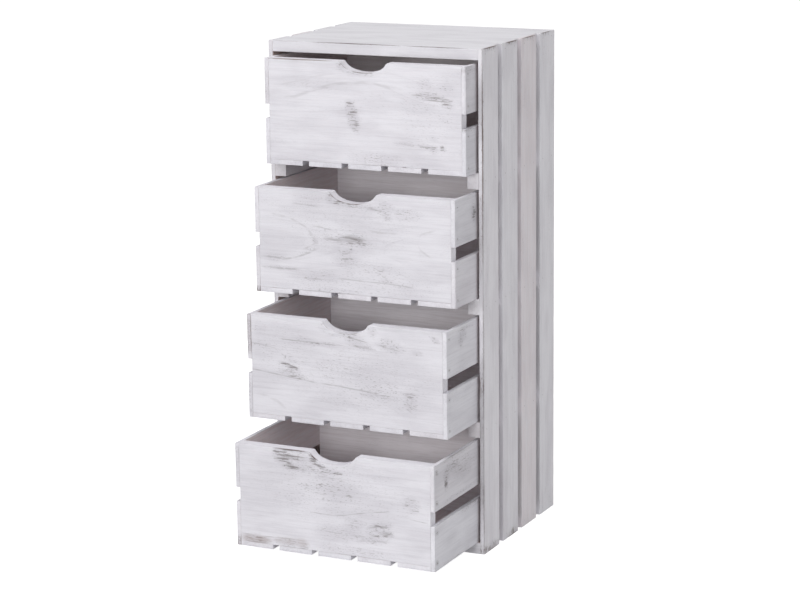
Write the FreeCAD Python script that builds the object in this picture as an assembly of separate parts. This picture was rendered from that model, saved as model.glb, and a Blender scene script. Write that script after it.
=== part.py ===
import FreeCAD, Part

import math
import os

Vector = FreeCAD.Vector

# A narrow crate-style chest with four drawers, made of sawn and nailed boards.
# Millimetres. X is the width, Y the depth with the drawer fronts towards -Y, Z is up.
# The origin is the middle of the cabinet's footprint, on the floor.
# Left and right are as seen by someone who stands in front of the drawers.

# Driving dimensions: the cabinet.
CABINET_WIDTH = 367.0
CABINET_DEPTH = 290.0
TOP_BOARD_THICKNESS = 17.5
BASE_BOARD_THICKNESS = 18.5
BACK_PANEL_THICKNESS = 4.0
SIDE_SLAT_THICKNESS = 7.0
SIDE_SLAT_COUNT = 4
SIDE_SLAT_GAP = 16.0
RUNNER_HEIGHT = 25.0
RUNNER_WIDTH = 19.0

# Driving dimensions: the drawers, numbered from the top.
DRAWER_COUNT = 4
DRAWER_HEIGHT = 167.25
DRAWER_HEAD_ROOM = 4.625
TOP_BAY_EXTRA_ROOM = 1.5
DRAWER_LIFT = 0.3
DRAWER_SIDE_ROOM = 4.5
DRAWER_REAR_ROOM = 2.0
FRONT_BOARD_THICKNESS = 18.0
BACK_BOARD_THICKNESS = 12.0
DRAWER_SLAT_THICKNESS = 7.0
DRAWER_SLAT_GAP = 22.4
BOTTOM_SLAT_THICKNESS = 8.0
BOTTOM_SLAT_COUNT = 5
BOTTOM_SLAT_GAP = 11.5

# How far each drawer is pulled out, from the top one down.
DRAWER_PULL = (36.0, 78.0, 112.0, 160.5)

# The finger scoop in the top edge of each drawer front.
SCOOP_WIDTH = 83.0
SCOOP_DEPTH = 16.4
SCOOP_FLOOR_RADIUS = 80.0
SCOOP_CORNER_RADIUS = 28.0
SCOOP_SHOULDER_RADIUS = 3.0

# The cut nails. Their heads are flush with the board.
NAIL_WIDTH = 1.6
NAIL_HEAD_WIDTH = 2.8
NAIL_HEAD_THICKNESS = 0.8
NAIL_GRIP = 16.0
NAIL_EDGE_DISTANCE = 12.0
NAIL_STAGGER = 3.0
BACK_PANEL_NAIL_ROW = 5

# Worked out from the dimensions above.
BAY_HEIGHT = DRAWER_HEIGHT + DRAWER_HEAD_ROOM
BAY_PITCH = BAY_HEIGHT + RUNNER_HEIGHT
CABINET_HEIGHT = (
    BASE_BOARD_THICKNESS
    + DRAWER_COUNT * BAY_HEIGHT
    + (DRAWER_COUNT - 1) * RUNNER_HEIGHT
    + TOP_BAY_EXTRA_ROOM
    + TOP_BOARD_THICKNESS
)
FRONT_Y = -CABINET_DEPTH / 2
REAR_Y = CABINET_DEPTH / 2
PANEL_Y = REAR_Y - BACK_PANEL_THICKNESS
OUTER_X = CABINET_WIDTH / 2
INNER_X = OUTER_X - SIDE_SLAT_THICKNESS
DRAWER_OUTER_X = INNER_X - DRAWER_SIDE_ROOM
DRAWER_INNER_X = DRAWER_OUTER_X - DRAWER_SLAT_THICKNESS
DRAWER_LENGTH = PANEL_Y - DRAWER_REAR_ROOM - FRONT_Y

TO_LEFT = Vector(-1, 0, 0)
TO_RIGHT = Vector(1, 0, 0)
TO_FRONT = Vector(0, -1, 0)
UPWARDS = Vector(0, 0, 1)


def board(x_span, y_span, z_span):
    """A plain sawn board that fills three spans."""
    low, high = (Vector(*ends) for ends in zip(x_span, y_span, z_span))
    size = high - low
    return Part.makeBox(size.x, size.y, size.z, low)


def even_spans(start, end, count, gap):
    """The spans of equal slats that fill the way from start to end with equal gaps."""
    width = (end - start - (count - 1) * gap) / count
    starts = [start + number * (width + gap) for number in range(count)]
    return [(begin, begin + width) for begin in starts]


def nail_places(span):
    """Where the two nails of a board's end stand, each the same way in from its edge."""
    return (span[0] + NAIL_EDGE_DISTANCE, span[1] - NAIL_EDGE_DISTANCE)


def middle(span):
    return (span[0] + span[1]) / 2


def square_rod(start, direction, length, width):
    """A square rod that runs from start along one of the axes."""
    end = start + direction * length
    spread = [0.0 if along else width / 2 for along in direction]
    low = [min(pair) - side for *pair, side in zip(start, end, spread)]
    high = [max(pair) + side for *pair, side in zip(start, end, spread)]
    return board(*zip(low, high))


def nail(x, y, z, direction, outer_board):
    """A cut nail driven through the outer board and NAIL_GRIP into the one behind it."""
    start = Vector(x, y, z)
    head = square_rod(start, direction, NAIL_HEAD_THICKNESS, NAIL_HEAD_WIDTH)
    shank = square_rod(start, direction, outer_board + NAIL_GRIP, NAIL_WIDTH)
    return head.fuse(shank).removeSplitter().Solids[0]


def drilled(wood, nails):
    """A board with the holes of the nails that go through or into it."""
    driven = [one for one in nails if one.BoundBox.intersect(wood.BoundBox)]
    if not driven:
        return wood
    return wood.cut(Part.makeCompound(driven)).Solids[0]


def scoop_arcs():
    """The right half of the scoop as three arcs that run into each other: floor, corner, shoulder.

    Each is a centre, a radius and its two angles. Places are X and the height above the board's
    top edge. Angles are from straight down, so a shoulder, which bends the other way, has larger ones.
    """
    half, floor, corner, shoulder = (
        SCOOP_WIDTH / 2,
        SCOOP_FLOOR_RADIUS,
        SCOOP_CORNER_RADIUS,
        SCOOP_SHOULDER_RADIUS,
    )
    floor_height = floor - SCOOP_DEPTH
    drop = floor_height + shoulder
    apart = math.hypot(half, drop)
    reach = floor - corner
    towards = (apart**2 + reach**2 - (corner + shoulder) ** 2) / (2 * reach)
    turn = math.atan2(half, drop) - math.acos(min(1.0, towards / apart))
    corner_x = reach * math.sin(turn)
    corner_height = floor_height - reach * math.cos(turn)
    steep = math.atan2(half - corner_x, corner_height + shoulder)
    return [
        ((0.0, floor_height), floor, (0.0, turn)),
        ((corner_x, corner_height), corner, (turn, steep)),
        ((half, -shoulder), shoulder, (steep + math.pi, math.pi)),
    ]


def scooped_board(x_span, y_span, z_span):
    """A drawer front: an upright board with a finger scoop in its top edge.

    The scoop has a wide shallow floor, a tighter corner on each side of it, and a small
    rounded shoulder that runs into the straight edge.
    """
    half = SCOOP_WIDTH / 2
    low, top = z_span
    left, right = x_span

    def at(x, z):
        return Vector(x, y_span[0], z)

    def on_arc(side, centre, radius, angle):
        x = centre[0] + radius * math.sin(angle)
        return at(side * x, top + centre[1] - radius * math.cos(angle))

    def arc(side, centre, radius, angles):
        start, end = angles
        places = (start, (start + end) / 2, end)
        return Part.Arc(*(on_arc(side, centre, radius, angle) for angle in places)).toShape()

    curves = [arc(side, *one) for side in (1, -1) for one in scoop_arcs()]
    corners = [at(half, top), at(right, top), at(right, low), at(left, low), at(left, top), at(-half, top)]
    lines = [Part.makeLine(start, end) for start, end in zip(corners, corners[1:])]
    outline = Part.Face(Part.Wire(Part.__sortEdges__(curves + lines)))
    return outline.extrude(Vector(0, y_span[1] - y_span[0], 0))


def bay_floor(number):
    """Height of what drawer number runs on: the base board or a pair of runners."""
    return BASE_BOARD_THICKNESS + (DRAWER_COUNT - number) * BAY_PITCH


def runner_heights():
    """The height span of each pair of runners, from the top pair down."""
    tops = [bay_floor(number) for number in range(1, DRAWER_COUNT)]
    return [(top - RUNNER_HEIGHT, top) for top in tops]


def cabinet():
    """The case: two boards, six runners, eight upright side slats and a thin back."""
    inside = (-INNER_X, INNER_X)
    before_panel = (FRONT_Y, PANEL_Y)
    base_height = (0.0, BASE_BOARD_THICKNESS)
    top_height = (CABINET_HEIGHT - TOP_BOARD_THICKNESS, CABINET_HEIGHT)
    wood = {
        "top_board": board(inside, before_panel, top_height),
        "base_board": board(inside, before_panel, base_height),
        "back_panel": board(inside, (PANEL_Y, REAR_Y), (0.0, CABINET_HEIGHT)),
    }
    slat_spans = even_spans(FRONT_Y, REAR_Y, SIDE_SLAT_COUNT, SIDE_SLAT_GAP)
    supports = [base_height] + runner_heights() + [top_height]
    nails = []
    for side, sign, inwards in (("left", -1, TO_RIGHT), ("right", 1, TO_LEFT)):
        slat_x = sorted((sign * INNER_X, sign * OUTER_X))
        runner_x = sorted((sign * INNER_X, sign * (INNER_X - RUNNER_WIDTH)))
        for number, span in enumerate(slat_spans, 1):
            wood[f"{side}_side_slat_{number}"] = board(slat_x, span, (0.0, CABINET_HEIGHT))
            nails += [
                nail(sign * OUTER_X, y, middle(height), inwards, SIDE_SLAT_THICKNESS)
                for height in supports
                for y in nail_places(span)
            ]
        for number, height in enumerate(runner_heights(), 1):
            wood[f"{side}_runner_{number}"] = board(runner_x, before_panel, height)
            nails.append(back_panel_nail(middle(runner_x), height))
    nails += [
        back_panel_nail(x, height)
        for height in (base_height, top_height)
        for x in row_places(-INNER_X + RUNNER_WIDTH, INNER_X - RUNNER_WIDTH)
    ]
    pieces = {name: drilled(shape, nails) for name, shape in wood.items()}
    pieces["cabinet_nails"] = Part.makeCompound(nails)
    return pieces


def row_places(start, end):
    """Where the back panel's nails stand along the edge of the top or base board."""
    step = (end - start) / (BACK_PANEL_NAIL_ROW - 1)
    return [start + number * step for number in range(BACK_PANEL_NAIL_ROW)]


def back_panel_nail(x, height):
    """A nail through the back panel, staggered so that it passes the side slats' nails."""
    return nail(x, REAR_Y, middle(height) + NAIL_STAGGER, TO_FRONT, BACK_PANEL_THICKNESS)


def drawer(number):
    """One open box: a scooped front, a back, two slats on each side and a slatted bottom."""
    name = f"drawer_{number}"
    floor = bay_floor(number) + DRAWER_LIFT
    top = floor + DRAWER_HEIGHT
    front = FRONT_Y - DRAWER_PULL[number - 1]
    rear = front + DRAWER_LENGTH
    length = (front, rear)
    inside = (-DRAWER_INNER_X, DRAWER_INNER_X)
    upright = (floor + BOTTOM_SLAT_THICKNESS, top)
    front_depth = (front, front + FRONT_BOARD_THICKNESS)
    back_depth = (rear - BACK_BOARD_THICKNESS, rear)
    wood = {
        "front_board": scooped_board(inside, front_depth, upright),
        "back_board": board(inside, back_depth, upright),
    }
    nails = []
    slat_spans = dict(zip(("lower", "upper"), even_spans(floor, top, 2, DRAWER_SLAT_GAP)))
    for side, sign, inwards in (("left", -1, TO_RIGHT), ("right", 1, TO_LEFT)):
        slat_x = sorted((sign * DRAWER_INNER_X, sign * DRAWER_OUTER_X))
        for place, height in slat_spans.items():
            wood[f"{side}_{place}_slat"] = board(slat_x, length, height)
            nails += [
                nail(sign * DRAWER_OUTER_X, middle(depth), z, inwards, DRAWER_SLAT_THICKNESS)
                for depth in (front_depth, back_depth)
                for z in nail_places(height)
            ]
    bottom_spans = even_spans(*inside, BOTTOM_SLAT_COUNT, BOTTOM_SLAT_GAP)
    bottom = [board(span, length, (floor, upright[0])) for span in bottom_spans]
    nails += [
        nail(x, middle(depth) + NAIL_STAGGER, floor, UPWARDS, BOTTOM_SLAT_THICKNESS)
        for depth in (front_depth, back_depth)
        for span in bottom_spans
        for x in nail_places(span)
    ]
    pieces = {f"{name}_{part}": drilled(shape, nails) for part, shape in wood.items()}
    pieces[f"{name}_bottom_slats"] = Part.makeCompound([drilled(slat, nails) for slat in bottom])
    pieces[f"{name}_nails"] = Part.makeCompound(nails)
    return pieces


def main():
    pieces = cabinet()
    for number in range(1, DRAWER_COUNT + 1):
        pieces.update(drawer(number))
    os.makedirs("parts", exist_ok=True)
    for name, shape in pieces.items():
        shape.exportStep(f"parts/{name}.step")
    print(f"{len(pieces)} nodes, cabinet {CABINET_WIDTH} x {CABINET_DEPTH} x {CABINET_HEIGHT} mm")
    return pieces


PIECES = main()
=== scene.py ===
# %% [markdown]
# A whitewashed crate chest, dressed board by board.
# The chest is sawn softwood: a slatted case and four slatted drawers, all nailed and brushed with a thin
# white wash. A CAD model already says where every board is and which drawer it rides on, so this lesson
# only adds what the eye looks for: soft, slightly uneven arrises, grain that runs through each board,
# paint that is thin over the grain and rubbed off in places, and nails sunk in their holes.

import math
import random

import bmesh
import bpy
from mathutils import Euler, Matrix, Vector, noise


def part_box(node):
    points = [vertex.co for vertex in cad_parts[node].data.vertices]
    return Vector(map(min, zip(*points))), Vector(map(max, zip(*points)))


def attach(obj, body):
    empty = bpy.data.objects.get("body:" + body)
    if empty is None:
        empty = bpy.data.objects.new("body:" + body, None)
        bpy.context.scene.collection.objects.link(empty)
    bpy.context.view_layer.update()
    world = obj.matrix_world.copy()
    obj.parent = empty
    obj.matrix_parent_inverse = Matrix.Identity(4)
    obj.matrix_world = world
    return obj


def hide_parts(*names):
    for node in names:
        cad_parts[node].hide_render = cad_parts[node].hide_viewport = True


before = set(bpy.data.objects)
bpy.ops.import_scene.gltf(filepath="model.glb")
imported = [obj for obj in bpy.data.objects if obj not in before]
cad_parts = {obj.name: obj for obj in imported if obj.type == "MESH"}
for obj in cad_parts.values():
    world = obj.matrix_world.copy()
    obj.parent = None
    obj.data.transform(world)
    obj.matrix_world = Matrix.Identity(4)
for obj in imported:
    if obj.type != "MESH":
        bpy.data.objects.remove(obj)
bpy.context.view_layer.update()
MM = 0.001

# %% [markdown]
# The camera. A long lens from three and a half metres away keeps the upright boards nearly parallel, as in
# a catalogue picture. The camera's own axes are worked out from three angles: how far it has walked round
# the chest, how far it looks down, and a slight roll.

# %% Camera
IMAGE_WIDTH = 800
SENSOR_WIDTH = 36.0
FOCAL_LENGTH_PIXELS = 2457.0
CAMERA_PLACE = (1.6753, -3.5368, 1.2278)
CAMERA_ROUND = math.radians(25.729)
CAMERA_DOWN = math.radians(12.399)
CAMERA_ROLL = math.radians(0.684)


def add_camera():
    """The camera, at its given place and turned by its three angles."""
    lens = bpy.data.cameras.new("camera")
    lens.sensor_width = SENSOR_WIDTH
    lens.lens = FOCAL_LENGTH_PIXELS / IMAGE_WIDTH * SENSOR_WIDTH
    camera = bpy.data.objects.new("camera", lens)
    turn = Euler((math.radians(90) - CAMERA_DOWN, 0, CAMERA_ROUND), "XYZ").to_matrix()
    roll = Matrix.Rotation(-CAMERA_ROLL, 3, "Z")
    camera.matrix_world = Matrix.Translation(CAMERA_PLACE) @ (turn @ roll).to_4x4()
    bpy.context.scene.collection.objects.link(camera)
    bpy.context.scene.camera = camera
    return camera


print("lens in mm:", round(add_camera().data.lens, 1))

# %% [markdown]
# Colours and nodes. Paint colours are easiest to judge as the hex values of a picture editor, but a shader
# works in linear light, so one function turns hex to linear. A second small function adds a shader node,
# sets it and links it, so that each material below reads as a list of steps.


# %% Helpers for colours and nodes
def linear(hex_colour):
    """An sRGB hex colour, such as E1E0E4, as linear red, green, blue and alpha."""
    parts = [int(hex_colour[place:place + 2], 16) / 255 for place in (0, 2, 4)]
    return [c / 12.92 if c <= 0.04045 else ((c + 0.055) / 1.055) ** 2.4 for c in parts] + [1.0]


def add_node(tree, kind, inputs=None, **settings):
    """Adds one node. An input is a value, or another node's output to link from."""
    made = tree.nodes.new(kind)
    for name, value in settings.items():
        setattr(made, name, value)
    for name, value in (inputs or {}).items():
        if isinstance(value, bpy.types.NodeSocket):
            tree.links.new(value, made.inputs[name])
        else:
            made.inputs[name].default_value = value
    return made


def new_material(name):
    """An empty material and its output node."""
    material = bpy.data.materials.new(name)
    material.use_nodes = True
    material.node_tree.nodes.clear()
    return material, add_node(material.node_tree, "ShaderNodeOutputMaterial")


print("white wash in linear light:", [round(part, 3) for part in linear("E6E5E9")])

# %% [markdown]
# The studio. The floor is plain and pale, and so is everything behind it. The camera sees extra white on
# the floor, added only for camera and mirror rays, so the ground reads as white paper while the chest's own
# shadow still shows on it. Four large soft lamps light the chest: most light comes from the front, and the
# rest from the right, the side and above, so that it reaches into the open drawers.

# %% Floor, world and lamps
FLOOR_HALF = 14.0
FLOOR_DROP = 0.0004
FLOOR_GLOW = 0.85
WORLD_LEVEL = 0.28


def seen_directly(tree):
    """One for rays from the camera, a mirror or through glass, and nothing for the light on the chest."""
    path = add_node(tree, "ShaderNodeLightPath")
    mirrored = add_node(tree, "ShaderNodeMath", {0: path.outputs["Is Camera Ray"],
                        1: path.outputs["Is Glossy Ray"]}, operation="MAXIMUM")
    return add_node(tree, "ShaderNodeMath", {0: mirrored.outputs[0],
                    1: path.outputs["Is Transmission Ray"]}, operation="MAXIMUM").outputs[0]


def add_floor():
    """A plain pale floor just under the chest, whiter for the camera than for the light."""
    shape = bmesh.new()
    bmesh.ops.create_grid(shape, x_segments=1, y_segments=1, size=FLOOR_HALF,
                          matrix=Matrix.Translation((0, 0, -FLOOR_DROP)))
    mesh = bpy.data.meshes.new("floor")
    shape.to_mesh(mesh)
    shape.free()
    floor = bpy.data.objects.new("floor", mesh)
    bpy.context.scene.collection.objects.link(floor)
    material, output = new_material("pale_paper_floor")
    tree = material.node_tree
    paper = add_node(tree, "ShaderNodeBsdfDiffuse", {"Color": linear("E4E4E4")})
    strength = add_node(tree, "ShaderNodeMath", {0: seen_directly(tree), 1: FLOOR_GLOW},
                        operation="MULTIPLY")
    glow = add_node(tree, "ShaderNodeEmission", {"Strength": strength.outputs[0]})
    both = add_node(tree, "ShaderNodeAddShader", {0: paper.outputs[0], 1: glow.outputs[0]})
    tree.links.new(both.outputs[0], output.inputs["Surface"])
    mesh.materials.append(material)
    return floor


def add_world():
    """White for the camera, and a weak even light for the chest."""
    world = bpy.data.worlds.new("studio")
    world.use_nodes = True
    tree = world.node_tree
    tree.nodes.clear()
    level = add_node(tree, "ShaderNodeMapRange", {"Value": seen_directly(tree),
                     "To Min": WORLD_LEVEL, "To Max": 1.0})
    sky = add_node(tree, "ShaderNodeBackground", {"Color": linear("FFFFFF"),
                   "Strength": level.outputs[0]})
    output = add_node(tree, "ShaderNodeOutputWorld")
    tree.links.new(sky.outputs[0], output.inputs["Surface"])
    bpy.context.scene.world = world


def add_lamp(name, place, target, width, height, power):
    """A soft box that faces its target."""
    light = bpy.data.lights.new(name, "AREA")
    light.shape = "RECTANGLE"
    light.size = width
    light.size_y = height
    light.energy = power
    lamp = bpy.data.objects.new(name, light)
    facing = (Vector(target) - Vector(place)).to_track_quat("-Z", "Y").to_matrix().to_4x4()
    lamp.matrix_world = Matrix.Translation(place) @ facing
    bpy.context.scene.collection.objects.link(lamp)
    return lamp


MIDDLE = (0.0, -0.05, 0.4)
bpy.context.scene.view_settings.view_transform = "Standard"
add_floor()
add_world()
add_lamp("front_soft_box", (0.05, -4.25, 1.3), MIDDLE, 1.8, 0.9, 65.0)
add_lamp("right_soft_box", (2.9, -3.0, 2.2), MIDDLE, 2.0, 1.6, 28.0)
add_lamp("side_soft_box", (4.0, -0.8, 1.4), MIDDLE, 2.4, 2.4, 19.2)
add_lamp("top_soft_box", (-0.3, -0.6, 3.8), MIDDLE, 2.4, 2.4, 55.0)
print("studio ready")

# %% [markdown]
# Whitewashed paulownia. The real boards are a light, wide-ringed wood that is brushed with thin white paint
# and then rubbed with sandpaper. The eye reads five things: a cool white film, growth rings that show
# through it as faint grey lines, short dark pores, grey streaks where the rubbing went through, and warmer,
# thinner paint on the faces that nobody sees. All of it follows the grain, so the pattern isn't laid on the
# faces. Each board knows where it lay in the log ("log_at": along the grain, and the two ways across it),
# and the rings are real cylinders around the log's heart, cut by the board's faces. That way the lines on
# a face, an edge and an end agree at every arris.

# %% Helpers for the wood
def stretched_noise(tree, place, along, across, detail=2.0, roughness=0.5):
    """Noise whose spots are so many millimetres long and wide, in the board's own directions."""
    scaled = add_node(tree, "ShaderNodeVectorMath", {0: place,
                      1: (1 / (along * MM), 1 / (across * MM), 1 / (across * MM))},
                      operation="MULTIPLY")
    spots = add_node(tree, "ShaderNodeTexNoise", {"Vector": scaled.outputs[0], "Scale": 1.0,
                     "Detail": detail, "Roughness": roughness})
    return spots.outputs["Fac"]


def ramped(tree, value, low, high, to_low=0.0, to_high=1.0):
    """Value, smoothly stretched so that low to high becomes to_low to to_high."""
    return add_node(tree, "ShaderNodeMapRange", {"Value": value, "From Min": low, "From Max": high,
                    "To Min": to_low, "To Max": to_high}, interpolation_type="SMOOTHSTEP").outputs[0]


def calculated(tree, operation, first, *others, clamp=False):
    """One arithmetic node."""
    inputs = dict(enumerate((first, *others)))
    return add_node(tree, "ShaderNodeMath", inputs, operation=operation, use_clamp=clamp).outputs[0]


def times(tree, first, *others):
    """The product of all the values."""
    for other in others:
        first = calculated(tree, "MULTIPLY", first, other)
    return first


def plus(tree, base, value, factor=None, clamp=False):
    """The base and the value, or the base and so many times the value."""
    if factor is None:
        return calculated(tree, "ADD", base, value, clamp=clamp)
    return calculated(tree, "MULTIPLY_ADD", value, factor, base, clamp=clamp)


def blended(tree, share, first, second):
    """The first colour, turned into the second by a share."""
    return add_node(tree, "ShaderNodeMix", {"Factor": share, "A": first, "B": second},
                    data_type="RGBA").outputs["Result"]


def board_value(tree, name):
    """A value that each piece carries on its vertices."""
    return add_node(tree, "ShaderNodeAttribute", attribute_name=name)


print("wood helpers ready")

# %% [markdown]
# The wood itself is drawn first, and the paint goes over it. Late wood is the dark line at the end of each
# year's ring. Sawn fibres are far finer than a millimetre, so the noise has two sizes: one close to real,
# for near views, and one drawn about three times too coarse, so that it still shows from a few metres away.

# %% Rings, dark lines and rubbed streaks
RING_WIDTH = 13.0
RING_WANDER = 7.0
FINE_FIBRE = 0.45
COARSE_FIBRE = 1.5
LINE_SETS = ("first", "second")


def ring_lines(tree, place):
    """A thin dark line at the end of each ring. Each ring has its own strength: most are faint."""
    across = add_node(tree, "ShaderNodeVectorMath", {0: place, 1: (0, 1, 1)}, operation="MULTIPLY")
    radius = add_node(tree, "ShaderNodeVectorMath", {0: across.outputs[0]}, operation="LENGTH")
    wander = times(tree, stretched_noise(tree, place, 260, 55), RING_WANDER * MM)
    rings = calculated(tree, "DIVIDE", plus(tree, radius.outputs["Value"], wander), RING_WIDTH * MM)
    in_ring = calculated(tree, "FRACT", rings)
    number = calculated(tree, "FLOOR", rings)
    own = add_node(tree, "ShaderNodeTexWhiteNoise", {"W": number}, noise_dimensions="1D").outputs["Value"]
    strength = plus(tree, 0.20, calculated(tree, "POWER", own, 3.0), 0.80)
    soft_part = ramped(tree, in_ring, 0.20, 0.95, 0.0, 0.40)
    dark_line = ramped(tree, in_ring, 0.84, 0.95, 0.0, 0.60)
    fall = ramped(tree, in_ring, 0.955, 1.0, 1.0, 0.0)
    late_wood = times(tree, plus(tree, soft_part, dark_line), fall)
    faint = ramped(tree, stretched_noise(tree, place, 110, 18), 0.38, 0.66, 0.10, 1.0)
    return times(tree, late_wood, strength, faint)


def dark_lines(tree, place, fine):
    """The few ring lines that stand out. Each vertex knows how far it is from its nearest one."""
    broken = ramped(tree, stretched_noise(tree, place, 26, 6, 3.0), 0.34, 0.60, 0.15, 1.0)
    frayed = plus(tree, -0.6, fine, 1.2)
    lines = []
    for way in LINE_SETS:
        offset = plus(tree, board_value(tree, way + "_line_gap").outputs["Fac"], frayed)
        gap = calculated(tree, "ABSOLUTE", offset)
        show = board_value(tree, way + "_line_show").outputs["Fac"]
        lines.append(times(tree, ramped(tree, gap, 0.25, 1.5, 1.0, 0.0), show))
    return times(tree, calculated(tree, "MAXIMUM", *lines), broken)


def rub_marks(tree, place, rubbed, streaks, fine):
    """Where the sandpaper went through: the lowest streaks first, and more of them in a rubbed spot."""
    drift = ramped(tree, stretched_noise(tree, place, 120, 45, 2.0), 0.54, 0.78, 0.0, 0.18)
    local = plus(tree, rubbed, drift)
    height = plus(tree, times(tree, streaks, 0.78), fine, 0.22)
    over = calculated(tree, "SUBTRACT", height, plus(tree, 0.70, local, -0.25))
    return local, ramped(tree, over, -0.03, 0.07, 0.0, 0.95)


print("rings every", RING_WIDTH, "mm, fibres", FINE_FIBRE, "and", COARSE_FIBRE, "mm wide")

# %% [markdown]
# One function makes the whole finish, because the drawers, the case and the hidden faces differ only in
# colours and amounts. The bare share says how much paint is gone at a point. It is the largest of seven:
# streaks, pores, knots, dark ring lines, worn arrises, end grain and the thin coat inside. Rings and pores
# follow the log. Brush marks and rubbed streaks run straight along each face, as the hand did.

# %% The whitewash
FIBRE_GREY = "77726F"
INNER_WOOD = "8E7B74"
ARRIS_WOOD = "5C4E49"
WARM_TINT = "E8C4BF"
STAIN = "A89C9A"


def whitewashed_wood(name, film, thin_film, bare, inner_film, ring_show, pore_show, inner_show):
    """White wash on sawn wood: film and thin film are the paint's colours, bare is the wood's."""
    material, output = new_material(name)
    tree = material.node_tree
    place = board_value(tree, "log_at").outputs["Vector"]
    face = board_value(tree, "face_at").outputs["Vector"]
    edge_gap, rubbed, knot, end_grain, inner, tone, warmth, stain = (
        board_value(tree, value).outputs["Fac"]
        for value in ("edge_gap", "rubbed", "knot", "end_grain", "inner", "tone", "warmth", "stain"))

    # Brushed on along the grain, so the film's thickness changes in long streaks.
    rings = ring_lines(tree, place)
    cloud = stretched_noise(tree, face, 95, 34, 2.0)
    brush = stretched_noise(tree, face, 130, 4.5, 3.0, 0.6)
    coarse = stretched_noise(tree, face, 30, COARSE_FIBRE, 3.0, 0.6)
    fine = stretched_noise(tree, face, 14, FINE_FIBRE, 2.0, 0.6)
    strokes = stretched_noise(tree, face, 42, 2.4, 2.0, 0.55)
    dashes = stretched_noise(tree, face, 13, 2.8, 2.0, 0.55)
    streaks = plus(tree, times(tree, dashes, 0.45), strokes, 0.55)
    local_rub, streak_bare = rub_marks(tree, face, rubbed, streaks, fine)
    thin = ramped(tree, brush, 0.40, 0.75, 0.0, 0.32)
    for spots, low, high, most in ((coarse, 0.45, 0.75, 0.20), (fine, 0.45, 0.75, 0.18),
                                   (cloud, 0.40, 0.66, 0.40)):
        thin = plus(tree, thin, ramped(tree, spots, low, high, 0.0, most))
    thin = plus(tree, thin, local_rub, 0.75)
    thin = plus(tree, thin, rings, ring_show, clamp=True)

    # Pores, knots and dark ring lines.
    pores = ramped(tree, stretched_noise(tree, place, 5.0, 1.1, 1.0), 0.60, 0.70)
    pore_bare = times(tree, pores, plus(tree, pore_show, local_rub, 1.3))
    knot_bare = times(tree, knot, ramped(tree, coarse, 0.34, 0.60))
    line_bare = dark_lines(tree, place, fine)

    # Rubbed arrises lose their paint in ragged bits, and end grain drinks a little of it.
    ragged = plus(tree, edge_gap, stretched_noise(tree, face, 12, 2.0, 3.0, 0.65), 2.0 * MM)
    near_edge = plus(tree, ragged, local_rub, -0.9 * MM)
    edge_bits = ramped(tree, stretched_noise(tree, face, 26, 26, 2.0), 0.52, 0.70, 0.0, 0.16)
    edge_share = plus(tree, edge_bits, local_rub, 1.15, clamp=True)
    edge_bare = times(tree, ramped(tree, near_edge, 1.2 * MM, 2.3 * MM, 0.95, 0.0), edge_share)
    end_bare = times(tree, end_grain, plus(tree, 0.04, local_rub, 0.75), ramped(tree, streaks, 0.35, 0.70))

    # The thin coat inside shows the wood in brush marks.
    inner_grain = plus(tree, times(tree, coarse, 0.4), brush, 0.6)
    bare_share = times(tree, inner, ramped(tree, inner_grain, 0.42, 0.60, 0.1, 1.0), inner_show)
    for part in (streak_bare, pore_bare, knot_bare, line_bare, edge_bare, end_bare):
        bare_share = calculated(tree, "MAXIMUM", bare_share, part)

    paint = blended(tree, thin, linear(film), linear(thin_film))
    paint = blended(tree, times(tree, inner, 0.75), paint, linear(inner_film))
    wood = blended(tree, fine, linear(bare), linear(FIBRE_GREY))
    wood = blended(tree, inner, wood, linear(INNER_WOOD))
    wood = blended(tree, edge_bare, wood, linear(ARRIS_WOOD))
    colour = blended(tree, bare_share, paint, wood)
    warm_streaks = times(tree, warmth, ramped(tree, streaks, 0.36, 0.60, 0.5, 1.0))
    colour = blended(tree, warm_streaks, colour, linear(WARM_TINT))
    stain_dashes = times(tree, stain, ramped(tree, dashes, 0.38, 0.60, 0.55, 1.0))
    colour = blended(tree, stain_dashes, colour, linear(STAIN))
    # Tone darkens the colour: each board's own tone, painted shade on the drawers' right side slats, and
    # painted shadow on the right front slat's front edge.
    colour = add_node(tree, "ShaderNodeHueSaturation", {"Color": colour, "Value": tone}).outputs[0]

    # Relief in millimetres: fibres, brush marks, the ring lines, and the missing film.
    relief = times(tree, fine, 0.07)
    for height, most in ((brush, 0.10), (coarse, 0.10), (rings, -0.04), (bare_share, -0.05)):
        relief = plus(tree, relief, height, most)
    bump = add_node(tree, "ShaderNodeBump", {"Height": relief, "Distance": MM, "Strength": 0.8})
    rough = ramped(tree, bare_share, 0.0, 1.0, 0.62, 0.86)
    shader = add_node(tree, "ShaderNodeBsdfPrincipled", {"Base Color": colour, "Roughness": rough,
                      "IOR": 1.45, "Specular IOR Level": 0.35, "Normal": bump.outputs[0]})
    tree.links.new(shader.outputs[0], output.inputs["Surface"])
    return material


# Thin white wash on paulownia, rubbed through by hand: cool, dry and slightly streaked.
DRAWER_WASH = whitewashed_wood("white_washed_paulownia_drawer", "E8E7ED", "CFCDD4", "A19FA4", "F9F5F8",
                               ring_show=0.45, pore_show=0.06, inner_show=0.16)
# The case's boards have the same wash with less rubbing, so they look calmer. Inside they are nearly bare.
CASE_WASH = whitewashed_wood("white_washed_paulownia_case", "E8E7EC", "D3D1D7", "9C9797", "C2AEA5",
                             ring_show=0.40, pore_show=0.06, inner_show=0.46)
# Runners, drawer bottoms and the back got one thin coat, so the wood warms the white.
INNER_WASH = whitewashed_wood("once_washed_paulownia_inside", "E4E2E6", "CFCBD0", "9B9390", "C2AEA5",
                              ring_show=0.55, pore_show=0.12, inner_show=0.46)
print("wood finishes:", DRAWER_WASH.name, CASE_WASH.name, INNER_WASH.name)

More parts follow.
